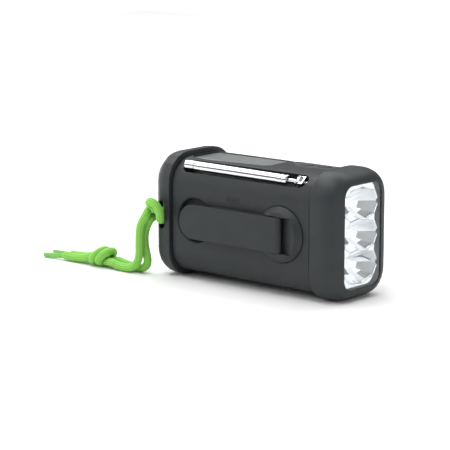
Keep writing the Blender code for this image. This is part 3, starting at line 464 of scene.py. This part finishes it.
def smooth_path(points, spacing):
    """An even run of points along the Catmull-Rom curve through these ones."""
    p = np.array(points, float)
    p = np.vstack([2 * p[0] - p[1], p, 2 * p[-1] - p[-2]])
    fine = []
    for i in range(1, len(p) - 2):
        t = np.linspace(0, 1, 24, endpoint=False)[:, None]
        a, b, c, d = p[i - 1], p[i], p[i + 1], p[i + 2]
        square = (2 * a - 5 * b + 4 * c - d) * t**2
        cube = (3 * b - a - 3 * c + d) * t**3
        fine.append(0.5 * (2 * b + (c - a) * t + square + cube))
    fine = np.vstack([*fine, p[-2:-1]])
    run = np.concatenate([[0], np.cumsum(np.linalg.norm(np.diff(fine, axis=0), axis=1))])
    count = int(run[-1] / spacing)
    even = np.linspace(0, run[-1], count + 1)
    return np.stack([np.interp(even, run, fine[:, k]) for k in range(3)], axis=1), even


def sections(path):
    """Two directions square to the path at each point, carried along without twist."""
    along = np.gradient(path, axis=0)
    along /= np.linalg.norm(along, axis=1)[:, None]
    side = np.empty_like(path)
    first = np.cross(along[0], (0.0, 0.0, 1.0))
    side[0] = first / np.linalg.norm(first)
    for i in range(1, len(path)):
        step = side[i - 1] - along[i] * (side[i - 1] @ along[i])
        side[i] = step / np.linalg.norm(step)
    return side, np.cross(along, side)


RIBS = 5
STITCH = 1.35
RELIEF = 0.30
AROUND = 40


def braided_cord(name, points, tip_radius, nodes):
    """One half of the lanyard as a braided tube with a bare far end."""
    path, run = smooth_path(points, PATH_SPACING)
    side, up = sections(path)
    length = run[-1]
    left = length - run
    # The melted tip is narrow and rounded at its end, and widens into the braid.
    tip = [tip_radius * share for share in (0.45, 0.8, 1.0, 1.08, 1.12)]
    thickness = np.interp(left, [0, 0.25, 0.8, 5, 15.5, 18.5], [*tip, CORD_RADIUS])
    melt = np.interp(left, [15, 18], [1, 0])
    start = np.interp(run, [0, 0.5], [0.8, 1.0])
    theta = np.arange(AROUND) * 2 * pi / AROUND
    rib = np.abs(np.cos(RIBS * theta))[None, :] ** 0.7
    saw = np.abs(((RIBS * theta / pi) % 1) - 0.5)[None, :] * 2
    stitch = 0.5 + 0.5 * np.cos(2 * pi * (run[:, None] / STITCH + 0.8 * saw))
    height = (0.45 + 0.55 * stitch) * (0.35 + 0.65 * rib)
    radius = (thickness * start)[:, None] + (height - 0.7) * RELIEF * (1 - 0.93 * melt)[:, None]
    turn_side = np.cos(theta)[None, :, None] * side[:, None, :]
    turn_up = np.sin(theta)[None, :, None] * up[:, None, :]
    ring = path[:, None, :] + radius[:, :, None] * (turn_side + turn_up)
    rows = len(path)
    points_out = ring.reshape(-1, 3).tolist()
    faces = []
    for i in range(rows - 1):
        for j in range(AROUND):
            k = (j + 1) % AROUND
            faces.append((i * AROUND + j, i * AROUND + k, (i + 1) * AROUND + k, (i + 1) * AROUND + j))
    for row, flip in ((0, 1), (rows - 1, -1)):
        outward = path[row] - path[row + flip]
        outward /= np.linalg.norm(outward)
        points_out.append(list(path[row] + outward * 0.3))
        centre = len(points_out) - 1
        for j in range(AROUND):
            k = (j + 1) % AROUND
            loop = (row * AROUND + k, row * AROUND + j, centre)
            faces.append(loop if flip == 1 else loop[::-1])
    cord = piece(name, points_out, faces, BRAID, "radio")
    # The braid attribute holds the stitch height, from which the braid material paints shade into the
    # valleys and a highlight onto the crests.
    for label, values, last in (
        ("braid", height.ravel(), 0.8),
        ("melt", np.repeat(melt, AROUND), 1.0),
    ):
        layer = cord.data.attributes.new(label, "FLOAT", "POINT")
        layer.data.foreach_set("value", np.concatenate([values, [values[0], last]]).astype(np.float32))
    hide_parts(*nodes)


braided_cord(
    "lanyard_front_half",
    BAND_A + DOWN_A + wrap(-57.0) + TAIL_A,
    1.45,
    ("lanyard_hitch", "lanyard_strand_a", "lanyard_tail_a"),
)
braided_cord(
    "lanyard_rear_half",
    BAND_B + DOWN_B + wrap(-51.6) + TAIL_B,
    1.12,
    ("lanyard_strand_b", "lanyard_knot", "lanyard_tail_b"),
)


# ---------------------------------------------------------------- carried-over nodes

for node_name, node in NODES.items():
    finish = FINISH[node.material_slots[0].material.name.split(".")[0]]
    if node_name == "control_pad":
        finish = PAD
    node.material_slots[0].material = finish
    if not node_name.startswith("lanyard"):
        shade(node)


# ---------------------------------------------------------------- reflector

# Half width and half height inside the lens's outline, and its corner radius
LENS_HALF = (17.1, 30.0)
LENS_CORNER = 6.7
# Three cups above each other: x of their floors and of their fronts, flat radius and full radius
CUP_PITCH = 18.0
CUP_FLOOR, CUP_FRONT = 109.2, 120.5
CUP_BORE, CUP_REACH = 2.8, 9.7
# Each cup is stretched sideways and has flat-sided facets that curve forwards
CUP_STRETCH = 1.75
CUP_FACETS = 9
CUP_CURVE = 1.4
REFLECTOR_THICKNESS = 0.9
FIRST_SPOKE = 100


def cup_depth(y, z):
    """How far out the metallised face stands: three many-sided cups that run into each other."""
    depth = CUP_FRONT
    for middle in (CUP_PITCH, 0, -CUP_PITCH):
        across, up = y / CUP_STRETCH, z - middle
        spokes = [radians(FIRST_SPOKE + 360 * n / CUP_FACETS) for n in range(CUP_FACETS)]
        radius = max(across * cos(a) + up * sin(a) for a in spokes)
        share = min(1.0, max(0.0, radius - CUP_BORE) / (CUP_REACH - CUP_BORE))
        depth = min(depth, CUP_FLOOR + (CUP_FRONT - CUP_FLOOR) * share**CUP_CURVE)
    return depth


def torch_reflector(rows=181, columns=97):
    half_y, half_z = LENS_HALF
    points = []
    for i in range(rows):
        z = half_z * (2 * i / (rows - 1) - 1)
        past = max(0.0, abs(z) - (half_z - LENS_CORNER))
        width = half_y - LENS_CORNER + (LENS_CORNER**2 - past**2) ** 0.5
        for j in range(columns):
            y = width * (2 * j / (columns - 1) - 1)
            points.append((cup_depth(y, z), y, z))
    faces = []
    for i in range(rows - 1):
        for j in range(columns - 1):
            a = i * columns + j
            faces.append((a, a + 1, a + columns + 1, a + columns))
    made = piece("torch_reflector", points, faces, reflector_material(), "radio")
    thick = made.modifiers.new("thick", "SOLIDIFY")
    thick.thickness = REFLECTOR_THICKNESS * MM
    thick.offset = -1
    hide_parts("reflector")


torch_reflector()


# ---------------------------------------------------------------- small pieces


def on_front(u, v, w):
    return (u, -HALF_DEPTH - w, v)


def on_rear(u, v, w):
    return (u, HALF_DEPTH + w, v)


def on_top(u, v, w):
    return (u, v, TOP + w)


def stadium(centre, half_length, radius, steps=12):
    """A pill-shaped outline, or a circle where half_length is the radius."""
    straight = half_length - radius
    outline = []
    for side, start in ((1, -90), (-1, 90)):
        for i in range(steps + 1):
            angle = radians(start + 180 * i / steps)
            across = side * straight + radius * cos(angle)
            outline.append((centre[0] + across, centre[1] + radius * sin(angle)))
    return outline


def ring_piece(name, outer, inner, low, high, plane, material, body):
    """A thin raised line between two outlines of the same count."""
    count = len(outer)
    points = [plane(u, v, w) for outline in (outer, inner) for w in (low, high) for u, v in outline]
    faces = []
    for i in range(count):
        j = (i + 1) % count
        for a, b in ((0, 1), (1, 3), (3, 2), (2, 0)):
            faces.append((a * count + i, a * count + j, b * count + j, b * count + i))
    made = piece(name, points, faces, material, body, smooth=False)
    face_out(made)
    return made


def face_out(obj):
    work = bmesh.new()
    work.from_mesh(obj.data)
    bmesh.ops.recalc_face_normals(work, faces=work.faces)
    work.to_mesh(obj.data)
    work.free()


def bars(name, outlines, low, high, plane, material, body):
    """Several small flat-topped marks as one piece."""
    points, faces = [], []
    for outline in outlines:
        base, count = len(points), len(outline)
        points += [plane(u, v, w) for w in (low, high) for u, v in outline]
        faces.append(tuple(range(base, base + count)))
        faces.append(tuple(range(base + count, base + 2 * count)))
        for i in range(count):
            j = (i + 1) % count
            faces.append((base + i, base + j, base + count + j, base + count + i))
    made = piece(name, points, faces, material, body, smooth=False)
    face_out(made)
    return made


def turned_bar(centre, radius, length, width, angle):
    """A small bar that points at centre, its inner end at radius."""
    out = Vector((sin(angle), cos(angle)))
    side = Vector((out.y, -out.x)) * width / 2
    base = Vector(centre) + out * radius
    return [tuple(base + s * side + t * length * out) for s, t in ((-1, 0), (1, 0), (1, 1), (-1, 1))]


PILL = (48.9, 15.65)
ring_piece(
    "front_mark", stadium(PILL, 5.0, 1.5), stadium(PILL, 4.72, 1.22),
    -0.02, 0.05, on_front, DARK_MARK, "radio",
)
bars(
    "front_mark_dashes",
    [stadium((PILL[0] + d, PILL[1]), 0.9, 0.34, 5) for d in (-2.7, 0.0, 2.7)],
    -0.02, 0.05, on_front, DARK_MARK, "radio",
)

TORCH_BUTTON, SIREN_BUTTON = (76.5, 8.2), (88.5, 8.4)
ICON_LOW, ICON_HIGH = 0.28, 0.42
for label, middle in (("torch_button", TORCH_BUTTON), ("siren_button", SIREN_BUTTON)):
    ring_piece(
        label + "_ring", stadium(middle, 2.1, 2.1), stadium(middle, 1.7, 1.7),
        ICON_LOW, ICON_HIGH, on_top, MARK, label + "_body",
    )
bars(
    "siren_button_dot", [stadium(SIREN_BUTTON, 0.7, 0.7, 8)],
    ICON_LOW, ICON_HIGH, on_top, MARK, "siren_button_body",
)
bars(
    "torch_button_dash", [stadium(TORCH_BUTTON, 1.0, 0.3, 5)],
    ICON_LOW, ICON_HIGH, on_top, MARK, "torch_button_body",
)


def ribs(name, centre, radius, count, body):
    """Grip ribs round a rear knob."""
    points, faces = [], []
    for n in range(count):
        angle = 2 * pi * n / count
        base = len(points)
        profile = [(-0.26, -0.05), (-0.14, 0.14), (0.14, 0.14), (0.26, -0.05)]
        for w in (0.35, 1.15):
            for s, r in profile:
                out = radius + (r if w < 1 else r * 0.9)
                u = centre[0] + out * sin(angle) + s * cos(angle)
                v = centre[1] + out * cos(angle) - s * sin(angle)
                points.append(on_rear(u, v, w))
        faces += [(base + i, base + i + 1, base + i + 5, base + i + 4) for i in range(3)]
        faces += [(base + 3, base, base + 4, base + 7), (base, base + 1, base + 2, base + 3)]
        faces.append((base + 7, base + 6, base + 5, base + 4))
    made = piece(name, points, faces, BLACK, body, smooth=False)
    face_out(made)


TUNING, VOLUME = (86.0, 12.0), (88.0, -12.0)
ribs("tuning_grip", TUNING, 9.0, 44, "tuning")
ribs("volume_grip", VOLUME, 7.0, 34, "volume")
TICK_ANGLES = [radians(-135 + 27 * n) for n in range(11)]
tuning_ticks = [
    turned_bar(TUNING, 10.1, 1.5 if n % 2 == 0 else 0.9, 0.35, angle) for n, angle in enumerate(TICK_ANGLES)
]
volume_ticks = [
    turned_bar(VOLUME, 8.1, 0.5 + 0.09 * n, 0.35, angle) for n, angle in enumerate(TICK_ANGLES)
]
bars("tuning_ticks", tuning_ticks, -0.02, 0.06, on_rear, MARK, "radio")
bars("volume_ticks", volume_ticks, -0.02, 0.06, on_rear, MARK, "radio")


# ---------------------------------------------------------------- seal at the aerial's way

AERIAL_PIVOT = Vector((92.6, -20.2, 30.7))
AERIAL_TIP = 77.8
AERIAL_TURN = radians(52)
AERIAL_LEAN = radians(0.95)
MOUTH = Vector((0, -cos(AERIAL_TURN), sin(AERIAL_TURN)))
ACROSS = Vector((0, sin(AERIAL_TURN), cos(AERIAL_TURN)))
OUT = MOUTH * cos(AERIAL_LEAN) + Vector((sin(AERIAL_LEAN), 0, 0))
TOWARDS_ROOT = ACROSS.cross(OUT)
WAY_RADIUS = 3.35


def way_seal(name, source, low_x, high_x, material):
    """The soft tongue that fills the way beside the slot, flush with the piece round it."""
    mesh = bpy.data.meshes.new(name)
    hull = bmesh.new()
    for vertex in NODES[source].data.vertices:
        hull.verts.new(vertex.co)
    bmesh.ops.convex_hull(hull, input=hull.verts)
    spare = [v for v in hull.verts if not v.link_faces]
    bmesh.ops.delete(hull, geom=spare, context="VERTS")
    bmesh.ops.recalc_face_normals(hull, faces=hull.faces)
    hull.to_mesh(mesh)
    hull.free()
    seal = bpy.data.objects.new(name, mesh)
    bpy.context.scene.collection.objects.link(seal)
    tool_mesh = bpy.data.meshes.new(name + "_tool")
    rod = bmesh.new()
    radius = WAY_RADIUS * MM
    depth = (high_x - low_x) * MM
    bmesh.ops.create_cone(rod, cap_ends=True, segments=48, radius1=radius, radius2=radius, depth=depth)
    turn = Matrix((ACROSS, OUT, TOWARDS_ROOT)).transposed().to_4x4()
    middle = AERIAL_PIVOT + TOWARDS_ROOT * ((low_x + high_x) / 2 - AERIAL_PIVOT.x)
    rod.transform(Matrix.Translation(at(*middle)) @ turn)
    rod.to_mesh(tool_mesh)
    rod.free()
    tool = bpy.data.objects.new(name + "_tool", tool_mesh)
    bpy.context.scene.collection.objects.link(tool)
    modifier = seal.modifiers.new("fit", "BOOLEAN")
    modifier.operation = "INTERSECT"
    modifier.solver = "EXACT"
    modifier.object = tool
    bpy.context.view_layer.update()
    evaluated = seal.evaluated_get(bpy.context.evaluated_depsgraph_get())
    final = bpy.data.meshes.new_from_object(evaluated)
    seal.modifiers.clear()
    seal.data = final
    bpy.data.objects.remove(tool)
    final.materials.clear()
    final.materials.append(material)
    shade(seal)
    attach(seal, "radio")
    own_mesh(seal)


way_seal("bumper_tongue", "end_bumper", -16.0, -0.02, RUBBER)
way_seal("casing_tongue", "front_casing", 1.22, 6.2, SHELL)


def washer(name, along, width, inner, outer, body, material):
    """A ring round the aerial, its middle at along millimetres from the pivot."""
    section = [(inner, -width / 2), (outer, -width / 2), (outer, width / 2), (inner, width / 2)]
    middle = AERIAL_PIVOT - TOWARDS_ROOT * along
    points = []
    steps = 40
    for i in range(steps):
        angle = 2 * pi * i / steps
        out = ACROSS * cos(angle) + OUT * sin(angle)
        points += [tuple(middle + out * r + TOWARDS_ROOT * w) for r, w in section]
    faces = []
    for i in range(steps):
        j = (i + 1) % steps
        for k in range(4):
            m = (k + 1) % 4
            faces.append((i * 4 + k, i * 4 + m, j * 4 + m, j * 4 + k))
    made = piece(name, points, faces, material, body, smooth=False)
    face_out(made)


washer("antenna_cap_washer", AERIAL_TIP + 0.2, 0.34, 1.6, 2.86, "aerial_tip", BLACK)


# ---------------------------------------------------------------- floor, light, world

FLOOR_HALF = 1.3
# Brightness of the surroundings near the horizon, above it, and where the camera sees them
HORIZON_LIGHT, WORLD_LIGHT, BACKDROP_LIGHT = 0.15, 0.4, 1.05
# The sines of the elevations between which the first rises to the second
RISE_START, RISE_END = 0.24, 0.34


def floor():
    mesh = bpy.data.meshes.new("floor")
    far = FLOOR_HALF
    corners = [(-far, -far, 0), (far, -far, 0), (far, far, 0), (-far, far, 0)]
    mesh.from_pydata(corners, [], [(0, 1, 2, 3)])
    made = Material("floor")
    made.set(
        Base_Color=made.mix(made.noise(3, 2), (0.93, 0.93, 0.93), (0.95, 0.95, 0.95)),
        Roughness=made.span(made.noise(8), 0.75, 0.85),
        Specular_IOR_Level=0.15,
    )
    mesh.materials.append(made.made)
    plane = bpy.data.objects.new("floor", mesh)
    plane.location = (0, 0, -0.0002)
    bpy.context.scene.collection.objects.link(plane)


def area_light(name, location, target, size, power):
    data = bpy.data.lights.new(name, "AREA")
    data.shape = "RECTANGLE"
    data.size, data.size_y = size
    data.energy = power
    made = bpy.data.objects.new(name, data)
    made.location = location
    direction = Vector(location) - Vector(target)
    made.rotation_euler = direction.to_track_quat("Z", "Y").to_euler()
    bpy.context.scene.collection.objects.link(made)


def world():
    made = bpy.data.worlds.new("studio")
    made.use_nodes = True
    nodes, links = made.node_tree.nodes, made.node_tree.links
    background = nodes["Background"]
    path = nodes.new("ShaderNodeLightPath")
    height = nodes.new("ShaderNodeSeparateXYZ")
    links.new(nodes.new("ShaderNodeTexCoord").outputs["Generated"], height.inputs[0])
    rise = nodes.new("ShaderNodeMapRange")
    rise.inputs["From Min"].default_value = RISE_START
    rise.inputs["From Max"].default_value = RISE_END
    rise.inputs["To Min"].default_value = HORIZON_LIGHT
    rise.inputs["To Max"].default_value = WORLD_LIGHT
    links.new(height.outputs["Z"], rise.inputs["Value"])
    level = nodes.new("ShaderNodeMapRange")
    links.new(rise.outputs["Result"], level.inputs["To Min"])
    level.inputs["To Max"].default_value = BACKDROP_LIGHT
    links.new(path.outputs["Is Camera Ray"], level.inputs["Value"])
    links.new(level.outputs["Result"], background.inputs["Strength"])
    background.inputs["Color"].default_value = (1, 1, 1, 1)
    bpy.context.scene.world = made


floor()
world()
area_light("overhead_near", (-0.45, -0.38, 1.5), (-0.3, -0.1, 0), (2.6, 0.48), 20)
area_light("overhead_far", (-0.45, 0.82, 1.5), (-0.3, 0.3, 0), (2.6, 0.66), 24)
area_light("front_top", (-0.9, -1.5, 1.25), (0, 0, 0.03), (2.0, 0.7), 8)
area_light("side_fill", (1.3, -0.2, 0.5), (0, 0, 0.03), (0.5, 0.9), 3)
area_light("left_card", (-1.6, 0.3, 0.24), (-0.1, 0, 0.04), (1.0, 0.4), 6)
area_light("left_front", (-1.5, -0.9, 0.45), (-0.06, 0, 0.05), (1.0, 0.7), 5)
bpy.context.scene.view_settings.view_transform = "Standard"
